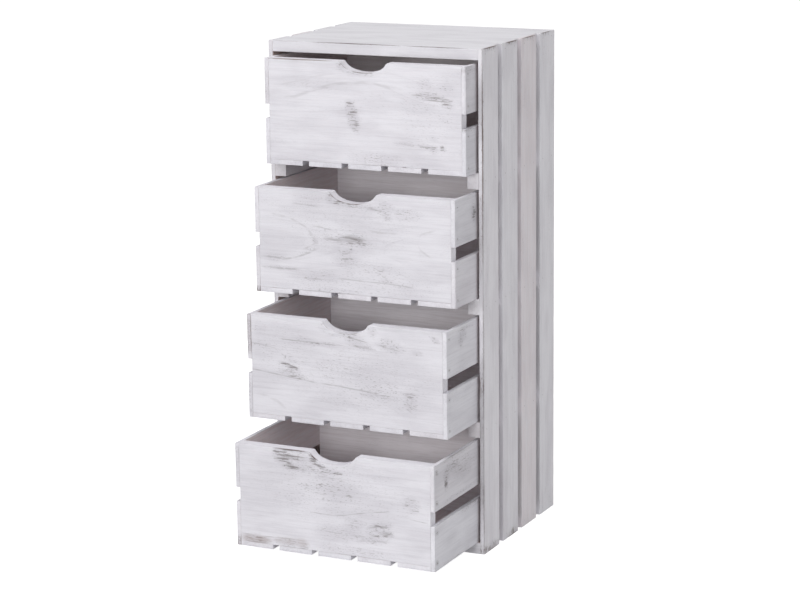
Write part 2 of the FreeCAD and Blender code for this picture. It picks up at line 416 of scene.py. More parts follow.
# %% [markdown]
# A sawn board. Each board could be a plain box, but a box looks like plastic: its arrises are knife sharp
# and its faces dead flat. So each board starts as a box (or, for a drawer front, an outline with the finger
# scoop, given thickness), gets its arrises bevelled, and is cut into a fine grid. The grid carries the
# board's own values for the material, and it lets the arrises be worn unevenly, as sandpaper does.

# %% Shaping one board
FACE_SKIN = 0.06 * MM
ARRIS = 0.3 * MM
CELL = 6.0 * MM
FRONT_CELL = 3.6 * MM
WORN_BAND = 2.0 * MM
NAIL_HOLE = 2.2 * MM
NAIL_HOLE_DEPTH = 0.35 * MM
AXES = (Vector((1, 0, 0)), Vector((0, 1, 0)), Vector((0, 0, 1)))


def plain_blank(low, high):
    """A box between two corners."""
    blank = bmesh.new()
    size = high - low
    bmesh.ops.create_cube(blank, size=1.0,
                          matrix=Matrix.Translation((low + high) / 2) @ Matrix.Diagonal((*size, 1)))
    return blank


def break_arrises(blank):
    """Bevels every sharp edge by the width of one pass of sandpaper."""
    sharp = [edge for edge in blank.edges if edge.calc_face_angle(0) > math.radians(40)]
    bmesh.ops.bevel(blank, geom=sharp, offset=ARRIS, affect="EDGES", segments=2, profile=0.5,
                    material=-1, clamp_overlap=True)


def cut_across(blank, axis, places):
    """Cuts the mesh with a plane at each place on an axis."""
    for place in places:
        bmesh.ops.bisect_plane(blank, geom=blank.verts[:] + blank.edges[:] + blank.faces[:],
                               dist=1e-6, plane_co=AXES[axis] * place, plane_no=AXES[axis])


def grid_places(low, high, kept, cell):
    """Places about a cell apart between two ends, with a worn band at each and the nail holes left in."""
    kept = sorted({low + WORN_BAND, high - WORN_BAND, *kept} if high - low > 4 * WORN_BAND else kept)
    stops = sorted([low, *kept, high])
    places = list(kept)
    for start, end in zip(stops, stops[1:]):
        count = math.ceil((end - start) / cell)
        places += [start + (end - start) * number / count for number in range(1, count)]
    return sorted(places)


def spot_distance(co, board, spot):
    """How far a point is from a spot's middle: one at its rim. A spot is given in mm on its board."""
    along, across, length, width = spot[:4]
    turn = spot[4] if len(spot) > 4 else 0.0
    away = co - board.middle
    x = away[board.along] - along * MM
    y = away[board.across] - across * MM
    return math.hypot((x * math.cos(turn) + y * math.sin(turn)) / (length * MM),
                      (y * math.cos(turn) - x * math.sin(turn)) / (width * MM))


class Board:
    """Where a board lies, how its grain runs, and where it lay in the log."""

    def __init__(self, low, high, along, seed, heart=None, depth=None, hollow=0.0, tilt=0.0,
                 centre=0.0, arches=(), scoop=None):
        self.low, self.high = Vector(low), Vector(high)
        self.middle = (self.low + self.high) / 2
        self.half = (self.high - self.low) / 2
        chance = random.Random(seed)
        self.along = along
        self.through, self.across = sorted((axis for axis in range(3) if axis != along),
                                           key=lambda axis: self.half[axis])
        self.heart = (chance.uniform(-60, 60) if heart is None else heart) * MM
        self.depth = (chance.uniform(25, 90) if depth is None else depth) * MM
        self.lean = chance.uniform(-0.10, 0.10)
        self.hollow = hollow
        self.tilt = tilt or chance.uniform(-0.03, 0.03)
        self.centre = centre * MM
        self.shift = chance.uniform(0.5, 4.0)
        self.arches = arches
        self.scoop = scoop
        self.cell = FRONT_CELL if scoop else CELL

    def log_place(self, co):
        """Along the grain, and the two ways across it from the heart of the log, in metres."""
        away = co - self.middle
        along = away[self.along] - self.centre
        across = away[self.across]
        turned = along * math.cos(self.tilt) + across * math.sin(self.tilt)
        aside = across * math.cos(self.tilt) - along * math.sin(self.tilt)
        aside -= sum(lift * MM * math.exp(-2 * spot_distance(co, self, spot)**2)
                     for *spot, lift in self.arches)
        bend = self.depth + self.lean * turned + self.hollow * turned * turned
        return Vector((turned + self.shift, aside - self.heart, away[self.through] + bend))

    def face_place(self, co):
        """Straight along and across the board, and through it: the way a brush and sandpaper run."""
        away = co - self.middle
        return Vector((away[self.along] + self.shift, away[self.across] - self.shift, away[self.through]))

    def edge_gap(self, co):
        """How far a surface point is from the nearest arris."""
        gaps = [self.half[axis] - abs(co[axis] - self.middle[axis]) for axis in range(3)]
        if self.scoop and abs(co.x) < self.scoop.half:
            gaps[2] = min(co.z - self.low.z, self.scoop.gap(co))
        return max(0.0, sorted(gaps)[1])

    def end_share(self, co):
        """One on the board's two ends, and nothing elsewhere."""
        gap = self.half[self.along] - abs(co[self.along] - self.middle[self.along])
        return 1.0 if gap < ARRIS * 0.5 else 0.0


def grid_board(blank, board, nails):
    """Cuts a blank into cells, with one small square cell for each nail's hole."""
    for axis in range(3):
        kept = sorted({round(place + side * NAIL_HOLE / 2, 6) for nail in nails
                       for place in [nail["at"][axis]] for side in (-1, 1) if axis != nail["axis"]})
        kept = [place for place in kept if board.low[axis] + ARRIS < place < board.high[axis] - ARRIS]
        places = grid_places(board.low[axis] + ARRIS, board.high[axis] - ARRIS, kept, board.cell)
        cut_across(blank, axis, places)


def sink_nail_holes(blank, nails):
    """Pushes each nail's cell into the board, so that the hole is real."""
    blank.faces.ensure_lookup_table()
    for nail in nails:
        outward = AXES[nail["axis"]] * nail["side"]
        for face in blank.faces[:]:
            if face.calc_area() > NAIL_HOLE**2 * 1.2 or face.normal.dot(outward) < 0.9:
                continue
            if (face.calc_center_median() - nail["at"]).length < NAIL_HOLE * 0.4:
                floor = bmesh.ops.extrude_discrete_faces(blank, faces=[face])["faces"][0]
                bmesh.ops.translate(blank, verts=floor.verts[:], vec=-outward * NAIL_HOLE_DEPTH)
                break


def wear_board(blank, board):
    """Rounds the arrises unevenly and takes the dead flatness out of the faces. All moves go inwards."""
    blank.normal_update()
    moves = []
    for vertex in blank.verts:
        place = vertex.co * 28 + Vector((board.shift, 0, 0))
        dip = FACE_SKIN * (1.0 + noise.noise(place))
        gap = board.edge_gap(vertex.co)
        if gap < ARRIS * 1.05:
            rub = max(0.0, noise.noise(vertex.co * 55 + Vector((0, board.shift, 0))) + 0.10)
            dent = max(0.0, noise.noise(vertex.co * 140 + Vector((0, 0, board.shift))) - 0.42)
            dip += (0.16 * rub + 1.4 * dent) * MM
        moves.append((vertex, vertex.normal * -dip))
    for vertex, move in moves:
        vertex.co += move


print("arris in mm:", ARRIS / MM, "cell in mm:", CELL / MM)

# %% [markdown]
# From shape to piece. A finished mesh gets its values for the material as attributes, which are numbers
# stored on the vertices. An attribute moves with the board, and needs no picture and no unwrapping. The
# rubbed patches are listed where they lie on each board: a place, a size and a strength, in millimetres.


# %% Making a piece of a board
RUB_DEPTH = 2.5 * MM
LINE_REACH = 4.0
LINE_FADE = 12.0
FAR_FROM_LINES = 99.0
THIN_BOARD = 10.0 * MM
INSIDE_WARMTH = 0.28
RUST_REACH = 3.0


def soft_spot(co, board, spot):
    """How strongly a spot acts on a point: nearly all of it inside, fading to nothing at its rim."""
    along, across, length, width, strength, *turn = spot
    far = spot_distance(co, board, (along, across, length, width, *turn))
    return strength * max(0.0, 1.0 - far * far * far)


def strongest_spot(co, board, spots):
    """How strongly the strongest of some spots acts on a point."""
    return max([soft_spot(co, board, spot) for spot in spots], default=0.0)


def nail_halo(board, nail, strength):
    """The rust that a nail's head bleeds into the wash, as a small dark spot."""
    away = nail["at"] - board.middle
    return away[board.along] / MM, away[board.across] / MM, RUST_REACH, RUST_REACH, strength


def line_offset(along, across, line):
    """How far a point is above a dark line, in half widths of the line, and how strong it is there."""
    width, show, *points = line
    if not points[0][0] <= along <= points[-1][0]:
        return FAR_FROM_LINES, 0.0
    for (start, low), (end, high) in zip(points, points[1:]):
        if along <= end:
            slope = (high - low) / (end - start)
            gap = (across - low - slope * (along - start)) / math.hypot(1, slope)
            break
    ends = min(along - points[0][0], points[-1][0] - along) / LINE_FADE
    near = abs(gap) / width < 2.0 + LINE_REACH
    return 2 * gap / width, show * min(1.0, ends) * near


def line_values(board, places, lines):
    """Offset and strength of the nearest line for each point. Lines alternate between two sets."""
    sets = [([], []) for _ in LINE_SETS]
    for co in places:
        away = co - board.middle
        along, across = away[board.along] / MM, away[board.across] / MM
        for way, (gaps, shows) in enumerate(sets):
            found = [line_offset(along, across, line) for line in lines[way::len(sets)]]
            gap, show = min(found, key=lambda one: abs(one[0]), default=(FAR_FROM_LINES, 0.0))
            gaps.append(gap)
            shows.append(show)
    return sets


def face_shares(board, inner_face, places):
    """Each point's share of the outer face's marks, and of the inner face's thin coat.

    The first is one on the outer face and fades to nothing a few millimetres into the edges. The second is
    one on the inner face alone. The inner face is given by its axis and the side the outer face is on."""
    if inner_face is None:
        return [1.0] * len(places), [0.0] * len(places)
    axis, side = inner_face
    inner, outer = (board.low[axis], board.high[axis])[::side]
    skin = [max(0.0, 1.0 - abs(co[axis] - outer) / RUB_DEPTH) for co in places]
    inside = [float(abs(co[axis] - inner) < ARRIS * 0.6 and board.edge_gap(co) > ARRIS) for co in places]
    return skin, inside


def write_values(mesh, name, values, kind="FLOAT"):
    """Stores one number or one vector on each vertex."""
    attribute = mesh.attributes.new(name, kind, "POINT")
    attribute.data.foreach_set("value" if kind == "FLOAT" else "vector", values)


def finish_board(name, blank, board, nails, material, node, body, slot, inner_face, tone, warmth,
                 patches=(), deep_patches=(), knots=(), lines=(), stains=(), painted_shadows=(), halo=0.0):
    """Grids, wears and paints one blank, and puts it on its body in place of its CAD node.

    Patches, knots, lines and stains stay on the outer face. Deep patches and painted shadows go right
    through."""
    break_arrises(blank)
    grid_board(blank, board, nails)
    wear_board(blank, board)
    sink_nail_holes(blank, nails)
    mesh = bpy.data.meshes.new(name)
    blank.to_mesh(mesh)
    blank.free()
    places = [vertex.co.copy() for vertex in mesh.vertices]
    skin, inside = face_shares(board, inner_face, places)
    rust = [nail_halo(board, nail, halo) for nail in nails]

    def spread(spots, shares):
        return [share * strongest_spot(co, board, spots) if share else 0.0
                for share, co in zip(shares, places)]

    through = [1.0] * len(places)
    for value, place_of in (("log_at", board.log_place), ("face_at", board.face_place)):
        write_values(mesh, value, [part for co in places for part in place_of(co)], "FLOAT_VECTOR")
    write_values(mesh, "edge_gap", [board.edge_gap(co) for co in places])
    write_values(mesh, "end_grain", [board.end_share(co) for co in places])
    write_values(mesh, "rubbed", list(map(max, spread(patches, skin), spread(deep_patches, through))))
    write_values(mesh, "knot", spread([*knots, *rust], skin))
    write_values(mesh, "stain", spread(stains, skin))
    for way, (gaps, shows) in zip(LINE_SETS, line_values(board, places, lines)):
        write_values(mesh, way + "_line_gap", gaps)
        write_values(mesh, way + "_line_show", [on * show for on, show in zip(skin, shows)])
    write_values(mesh, "inner", inside)
    # Tone: the board's own tone, times its painted shadow spots.
    write_values(mesh, "tone", [(1.0 + (tone - 1.0) * on) * (1.0 - shade)
                                for on, shade in zip(skin, spread(painted_shadows, through))])
    inside_warmth = INSIDE_WARMTH if board.half[board.through] < THIN_BOARD / 2 else 0.0
    write_values(mesh, "warmth", [max(warmth, inside_warmth * share) for share in inside])
    mesh.materials.append(material)
    mesh.shade_smooth()
    piece = bpy.data.objects.new(name, mesh)
    bpy.context.scene.collection.objects.link(piece)
    piece.modifiers.new("faces_before_arrises", "WEIGHTED_NORMAL")
    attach(piece, body)
    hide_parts(node)
    return piece


print("each piece carries:", "log_at face_at edge_gap end_grain rubbed knot stain lines inner tone warmth")

# %% [markdown]
# The finger scoop. The top edge of a drawer front dips in a wide shallow floor, turns up through a tighter
# corner on each side, and ends in a small rounded shoulder. A boolean cut would do it, but its rim is messy
# to bevel. Spinning a single vertex about each arc's centre draws a clean outline instead, which is then
# filled and pulled to the board's thickness.

# %% The scooped front
SCOOP_WIDTH = 83.0 * MM
SCOOP_DEPTH = 16.4 * MM
FLOOR_RADIUS = 80.0 * MM
CORNER_RADIUS = 28.0 * MM
SHOULDER_RADIUS = 3.0 * MM
FLOOR_STEPS = 12
CORNER_STEPS = 6
SHOULDER_STEPS = 4


class Scoop:
    """The scoop's arcs, in a front board whose top edge is at a given height."""

    def __init__(self, top):
        self.half = SCOOP_WIDTH / 2
        self.floor_height = top - SCOOP_DEPTH + FLOOR_RADIUS
        self.shoulder_height = top - SHOULDER_RADIUS
        drop = self.floor_height - self.shoulder_height
        apart = math.hypot(self.half, drop)
        reach = FLOOR_RADIUS - CORNER_RADIUS
        towards = (apart**2 + reach**2 - (CORNER_RADIUS + SHOULDER_RADIUS)**2) / (2 * reach)
        self.turn = math.atan2(self.half, drop) - math.acos(towards / apart)
        self.corner_x = reach * math.sin(self.turn)
        self.corner_height = self.floor_height - reach * math.cos(self.turn)
        self.steep = math.atan2(self.half - self.corner_x, self.corner_height - self.shoulder_height)

    def gap(self, co):
        """How far a point of the board is from the scoop's rim, seen from the front."""
        aside = abs(co.x)
        if aside < FLOOR_RADIUS * math.sin(self.turn):
            return abs(math.hypot(aside, co.z - self.floor_height) - FLOOR_RADIUS)
        if aside < self.corner_x + CORNER_RADIUS * math.sin(self.steep):
            return abs(math.hypot(aside - self.corner_x, co.z - self.corner_height) - CORNER_RADIUS)
        return abs(math.hypot(aside - self.half, co.z - self.shoulder_height) - SHOULDER_RADIUS)

    def arcs(self):
        """Each arc's centre, turn and steps, from the right shoulder round to the left one."""
        shoulder = (self.half, self.shoulder_height, -self.steep, SHOULDER_STEPS)
        corner = (self.corner_x, self.corner_height, self.steep - self.turn, CORNER_STEPS)
        floor = (0.0, self.floor_height, 2 * self.turn, FLOOR_STEPS)
        left_half = [(-x, height, turn, steps) for x, height, turn, steps in (corner, shoulder)]
        return [shoulder, corner, floor, *left_half]


def scooped_blank(low, high, scoop):
    """A front board: its outline drawn by spinning vertices, filled, and pulled to its thickness."""
    blank = bmesh.new()
    tip = first = blank.verts.new((scoop.half, low.y, high.z))
    for aside, height, turn, steps in scoop.arcs():
        spun = bmesh.ops.spin(blank, geom=[tip], cent=(aside, low.y, height), axis=(0, 1, 0),
                              angle=turn, steps=steps)
        tip = next(part for part in spun["geom_last"] if isinstance(part, bmesh.types.BMVert))
    for x, z in ((low.x, high.z), (low.x, low.z), (high.x, low.z), (high.x, high.z)):
        tip = bmesh.ops.extrude_vert_indiv(blank, verts=[tip])["verts"][0]
        tip.co = Vector((x, low.y, z))
    bmesh.ops.contextual_create(blank, geom=[tip, first])
    bmesh.ops.contextual_create(blank, geom=blank.edges[:])
    pulled = bmesh.ops.extrude_face_region(blank, geom=blank.faces[:])["geom"]
    moved = [part for part in pulled if isinstance(part, bmesh.types.BMVert)]
    bmesh.ops.translate(blank, verts=moved, vec=(0, high.y - low.y, 0))
    bmesh.ops.recalc_face_normals(blank, faces=blank.faces[:])
    return blank


print("scoop corner turns at mm:", round(Scoop(0.8).corner_x / MM, 1))

# %% [markdown]
# Nails. The crate is held by cut nails. They were brushed over with the boards, so they only show as small
# pale squares at the end of each slat. Their places repeat: two to a slat's end, a fixed way in from its
# edges, in the middle of the board behind. Each head is a small bevelled block, a little below the wood.

# %% Nail places and heads
NAIL_EDGE_DISTANCE = 12.0 * MM
NAIL_STAGGER = 3.0 * MM
BACK_PANEL_NAIL_ROW = 5
HEAD_WIDTH = 1.9 * MM
HEAD_THICKNESS = 0.5 * MM
HEAD_BELOW_FACE = 0.15 * MM


def centre_of(node, axis):
    """The middle of a CAD node's box on one axis."""
    low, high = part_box(node)
    return (low[axis] + high[axis]) / 2


def nail_at(axis, side, place):
    """A nail whose head looks along an axis, to its low side (-1) or its high side (1)."""
    return {"axis": axis, "side": side, "at": Vector(place)}


def slat_nails(node, axis, side, across, along, supports):
    """Two nails where a slat lies on each support, at the support's own middle."""
    low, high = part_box(node)
    nails = []
    for support in supports:
        for edge in (low[across] + NAIL_EDGE_DISTANCE, high[across] - NAIL_EDGE_DISTANCE):
            place = [0.0, 0.0, 0.0]
            place[axis] = high[axis] if side > 0 else low[axis]
            place[across] = edge
            place[along] = support
            nails.append(nail_at(axis, side, place))
    return nails


def nail_steel(name, face, rust):
    """Cut-nail steel, brushed over with the same wash: dull, with brown specks where rust shows."""
    material, output = new_material(name)
    tree = material.node_tree
    where = add_node(tree, "ShaderNodeTexCoord").outputs["Object"]
    specks = add_node(tree, "ShaderNodeTexNoise", {"Vector": where, "Scale": 1 / (0.8 * MM),
                      "Detail": 2.0}).outputs["Fac"]
    colour = blended(tree, ramped(tree, specks, 0.45, 0.62), linear(face), linear(rust))
    bump = add_node(tree, "ShaderNodeBump", {"Height": specks, "Distance": 0.1 * MM})
    shader = add_node(tree, "ShaderNodeBsdfPrincipled", {"Base Color": colour, "Metallic": 0.0,
                      "Roughness": 0.55, "Normal": bump.outputs[0]})
    tree.links.new(shader.outputs[0], output.inputs["Surface"])
    return material


CASE_STEEL = nail_steel("washed_over_cut_nail_steel", "C4C2C7", "A39A95")
DRAWER_STEEL = nail_steel("thinly_washed_cut_nail_steel", "8A8688", "7B6E68")


def add_nail_heads(name, nails, node, body, steel):
    """All the nail heads of one body in one mesh, each turned a little its own way."""
    heads = bmesh.new()
    chance = random.Random(name)
    for nail in nails:
        outward = AXES[nail["axis"]] * nail["side"]
        facing = outward.to_track_quat("Z", "Y").to_matrix().to_4x4()
        middle = nail["at"] - outward * (FACE_SKIN + HEAD_BELOW_FACE + HEAD_THICKNESS / 2)
        spun = Matrix.Rotation(chance.uniform(-0.12, 0.12), 4, "Z")
        size = Matrix.Diagonal((HEAD_WIDTH, HEAD_WIDTH, HEAD_THICKNESS, 1))
        made = bmesh.ops.create_cube(heads, size=1.0,
                                     matrix=Matrix.Translation(middle) @ facing @ spun @ size)
        edges = list({edge for vertex in made["verts"] for edge in vertex.link_edges})
        bmesh.ops.bevel(heads, geom=edges, offset=0.12 * MM, affect="EDGES", segments=1,
                        profile=0.5, material=-1)
    mesh = bpy.data.meshes.new(name)
    heads.to_mesh(mesh)
    heads.free()
    mesh.materials.append(steel)
    piece = bpy.data.objects.new(name, mesh)
    bpy.context.scene.collection.objects.link(piece)
    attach(piece, body)
    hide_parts(node)
    return piece


print("nail head in mm:", HEAD_WIDTH / MM)

# %% [markdown]
# The case. Two boards lie across, eight slats stand up the sides, three pairs of battens carry the drawers
# and a thin panel closes the back. Each is the same kind of board, so a short function makes one from its
# CAD node's own box, and a loop does the rest. X, Y and Z are axes 0, 1 and 2.

# %% Build the case
X, Y, Z = 0, 1, 2
SIDES = (("left", -1), ("right", 1))
CASE_SLOT = "whitewashed_case_wood"
INNER_SLOT = "bare_inner_wood"
SUPPORT_HEIGHTS = [centre_of(node, Z) for node in
                   ("base_board", "right_runner_3", "right_runner_2", "right_runner_1", "top_board")]

# Rubbed spots: along the grain, across it, length, width, strength and turn, in mm from the board's middle.
CASE_RUBS = {
    "top_board": [(-30, -144, 90, 6.0, 0.85), (105, -144, 60, 4.0, 0.8), (-150, -144, 30, 5, 0.3),
                  (60, 40, 70, 26, 0.10), (-90, -60, 60, 20, 0.12)],
    "right_side_slat_1": [(230, -30, 190, 6.0, 0.90), (-90, -30, 150, 5.0, 0.60), (-330, -30, 70, 5, 0.6),
                          (399, 0, 4.0, 30, 0.9), (-395, 2, 8.0, 30, 0.9), (60, -14, 90, 12, 0.12)],
    "right_side_slat_2": [(399, 6, 5.0, 26, 0.95), (-396, 6, 9.0, 24, 0.9), (150, 0, 50, 5, 0.25),
                          (-120, 10, 90, 9, 0.15)],
    "right_side_slat_3": [(399, 0, 3.0, 30, 0.8), (80, -26, 60, 4, 0.3)],
    "right_side_slat_4": [(399, -6, 3.0, 22, 0.6), (120, 12, 80, 14, 0.14)],
    "left_side_slat_1": [(100, -30, 260, 3.2, 0.25), (-250, -30, 120, 3.0, 0.3), (0, 6, 70, 12, 0.3)],
    "left_side_slat_2": [(-180, 4, 80, 14, 0.35), (399, 0, 3.0, 30, 0.7)],
    "left_side_slat_3": [(210, -8, 60, 10, 0.35), (399, 0, 3.0, 30, 0.7)],
    "left_side_slat_4": [(-40, 8, 90, 12, 0.3), (399, 0, 3.0, 30, 0.7)],
}
# These go right through the board, so that they show on its edges too.
CASE_EDGE_RUBS = {
    "right_side_slat_1": [(130, -31, 90, 5, 0.36), (-127, -34, 28, 6, 1.0), (-240, -31, 130, 5, 0.36),
                          (-394, -24, 7, 10, 1.0)],
    "right_side_slat_2": [(-396, 6, 8, 20, 0.7)],
}
# Painted shadow: most of the right front slat's front edge is darkened for the shadow that the pulled-out
# drawers cast on it.
CASE_PAINTED_SHADOWS = {"right_side_slat_1": [(311, -33, 82, 4.5, 0.36), (72, -33, 96, 4.5, 0.38),
                                     (-215, -33, 188, 4.5, 0.42)]}
CASE_WARMTH = {"right_side_slat_3": 0.17, "left_side_slat_2": 0.20}


def case_board(node, along, material, slot, nails=(), inner_face=None, **log):
    """One board of the case, in its CAD node's own box."""
    board = Board(*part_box(node), along, seed=node, **log)
    chance = random.Random("tone " + node)
    tone = chance.uniform(0.975, 1.015)
    warmth = CASE_WARMTH.get(node, chance.uniform(0.0, 0.06))
    return finish_board("washed_" + node, plain_blank(board.low, board.high), board, nails, material, node,
                        "cabinet", slot, inner_face, tone, warmth, patches=CASE_RUBS.get(node, ()),
                        deep_patches=CASE_EDGE_RUBS.get(node, ()), painted_shadows=CASE_PAINTED_SHADOWS.get(node, ()))


def panel_nails():
    """The back panel's nails: a row into the top and base boards, and one into each batten's end."""
    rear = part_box("back_panel")[1].y
    inner = -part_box("left_runner_1")[1].x
    step = 2 * inner / (BACK_PANEL_NAIL_ROW - 1)
    places = [(-inner + number * step, centre_of(board, Z)) for board in ("base_board", "top_board")
              for number in range(BACK_PANEL_NAIL_ROW)]
    places += [(centre_of(f"{side}_runner_{number}", X), centre_of(f"{side}_runner_{number}", Z))
               for side in ("left", "right") for number in range(1, 4)]
    return [nail_at(Y, 1, (x, rear, z + NAIL_STAGGER)) for x, z in places]


def build_case():
    """All the case's boards and nails. Returns the number of nails."""
    nails = []
    case_board("top_board", X, CASE_WASH, CASE_SLOT, inner_face=(Z, 1), heart=-40, depth=60)
    case_board("base_board", X, CASE_WASH, CASE_SLOT, inner_face=(Z, -1))
    for side, sign in SIDES:
        for number in range(1, 5):
            node = f"{side}_side_slat_{number}"
            slat = slat_nails(node, X, sign, Y, Z, SUPPORT_HEIGHTS)
            case_board(node, Z, CASE_WASH, CASE_SLOT, slat, inner_face=(X, sign))
            nails += slat
        for number in range(1, 4):
            case_board(f"{side}_runner_{number}", Y, INNER_WASH, INNER_SLOT)
    panel = panel_nails()
    case_board("back_panel", Z, INNER_WASH, INNER_SLOT, panel, heart=260, depth=15)
    add_nail_heads("case_nail_heads", nails + panel, "cabinet_nails", "cabinet", CASE_STEEL)
    return len(nails) + len(panel)


print("case nails:", build_case())

# %% [markdown]
# The drawers. All four are alike: a scooped front between two slats on each side, a back and five bottom
# slats. What makes them look like four different boards is the wood, so each front has its own place in the
# log and its own rubbed spots. An arch is a spot where the rings swerve, as they do round a knot.

# %% Build the drawers
DRAWER_SLOT = "whitewashed_drawer_wood"
FRONT_LOGS = {
    1: {"heart": -210, "depth": 30, "arches": [(0, 52, 125, 70, 30), (-60, -70, 120, 40, -6)]},
    2: {"heart": -4, "depth": 47, "hollow": -1.6, "centre": -3,
        "arches": [(-3, 22, 40, 22, 7), (-3, -18, 40, 22, -7), (120, -30, 30, 26, -9)]},
    3: {"heart": 150, "depth": 25, "tilt": -0.07,
        "arches": [(-120, -70, 60, 40, 22), (60, 50, 110, 35, -9)]},
    4: {"heart": -150, "depth": 30, "tilt": 0.02,
        "arches": [(75, -30, 60, 40, -12), (-10, -12, 70, 40, -12)]},
}
FRONT_TONES = {1: 0.985, 2: 0.955, 3: 0.96, 4: 0.965}
FRONT_RUBS = {
    1: [(-19, -6, 12, 29, 0.71, 0.27), (-24, 14, 10, 6, 0.74), (-15, -9, 11, 7, 0.68),
        (-17, -21, 13, 5, 0.68), (112, 33, 30, 3.0, 0.80, -0.07), (117, 28, 26, 4.5, 0.86),
        (137, 27, 17, 4.5, 0.86), (143, 19, 13, 7, 0.66), (98, 30, 22, 7, 0.50), (104, 50, 15, 9, 0.50),
        (140, 46, 18, 6, 0.48), (135, -3, 12, 5, 0.40), (97, -45, 7, 4, 0.85), (114, -47, 16, 4.0, 0.92),
        (133, -47, 6, 5, 1.0), (118, -33, 9, 4, 0.62), (118, -54, 8, 3, 0.55), (70, -44, 26, 4, 0.42),
        (20, -70, 55, 13, 0.36), (-115, 79.6, 62, 2.0, 1.0), (-36, 72, 12, 9, 0.48),
        (-4, 62, 36, 4, 0.70), (110, 8, 60, 60, 0.16)],
    2: [(12, 3, 14, 9, 0.74, -0.3), (-3, 6, 40, 12, 0.55), (-12, -13, 20, 7, 0.60, 0.25),
        (-12, -27, 30, 11, 0.54), (-66, 2, 8, 10, 0.62), (-50, 10, 34, 14, 0.36),
        (38, 57, 28, 5, 0.64, -0.12), (57, 48, 14, 9, 0.68, -0.5), (58, 62, 18, 9, 0.56, -0.3),
        (90, 52, 34, 10, 0.46), (-75, 67, 40, 6, 0.30), (-82, 57, 28, 5, 0.42), (-135, -30, 28, 6, 0.36),
        (-125, -47, 36, 4, 0.40), (-73, -60, 20, 4, 0.60), (56, -54, 16, 7, 0.60), (82, -59, 24, 4, 0.60),
        (-30, -76, 64, 5, 0.46), (30, -38, 64, 14, 0.36), (-38, 70, 12, 12, 0.64), (-24, 63, 14, 7, 0.64),
        (0, 61, 32, 4, 0.66), (-20, 30, 140, 60, 0.14), (20, -60, 150, 24, 0.20)],
    3: [(-98, 2, 24, 4.5, 0.92, -0.28), (-88, -1, 13, 5, 0.88, -0.28), (-95, -10, 30, 8, 0.66, -0.15),
        (-78, -14, 15, 5, 0.70, -0.1), (-96, 14, 16, 6, 0.50, -0.3), (-75, 49, 26, 4, 0.56),
        (-60, 44, 62, 4, 0.60), (12, 57, 24, 9, 0.50, -0.2), (16, 63, 10, 4, 0.56),
        (30, 44, 26, 5, 0.56, -0.1), (72, 47, 26, 7, 0.64, -0.3), (80, 52, 26, 10, 0.58, -0.3),
        (47, 70, 9, 9, 0.52, -0.6), (123, 43, 12, 4, 0.56), (152, 67, 10, 5, 0.66, -0.5),
        (-150, 33, 22, 6, 0.48), (60, -22, 48, 24, 0.47, -0.1), (50, -30, 32, 9, 0.55),
        (108, -24, 18, 5, 0.72), (110, -36, 15, 15, 0.60), (10, 5, 80, 34, 0.34),
        (-150, 60, 16, 12, 0.36), (-36, 70, 12, 10, 0.32), (0, 60, 36, 4, 0.62), (30, -10, 150, 60, 0.18),
        (-100, 20, 60, 60, 0.16)],
    4: [(-82, 68, 28, 6, 1.0, -0.05), (-86, 61, 20, 7, 0.92), (-73, 52, 20, 6, 1.08, -0.1),
        (-92, 74, 16, 8, 0.88), (-70, 77.5, 36, 4, 0.90), (-60, 66, 28, 9, 0.56), (-45, 52, 32, 10, 0.62),
        (-34, 68, 9, 11, 1.0, 0.3), (-21, 57, 15, 7, 0.92, -0.45), (-2, 52, 26, 5, 0.88, -0.1),
        (-12, 45, 32, 11, 0.58), (-8, 25, 68, 20, 0.50), (26, 17, 10, 4, 0.86), (10, 10, 44, 12, 0.44),
        (132, 14, 18, 15, 0.48), (136, 5, 13, 4, 0.62), (130, 22, 15, 4, 0.56),
        (80, -26, 26, 7, 0.80, 0.15), (76, -38, 30, 15, 0.61), (92, -36, 14, 5, 0.70, -0.1),
        (66, -50, 32, 7, 0.58), (36, -28, 24, 12, 0.54), (20, -45, 66, 15, 0.38), (40, -72, 80, 10, 0.42),
        (-138, -74, 28, 8, 0.70), (-80, -72, 28, 9, 0.62), (-54, -74, 12, 8, 0.60), (0, 20, 150, 60, 0.20)],
}
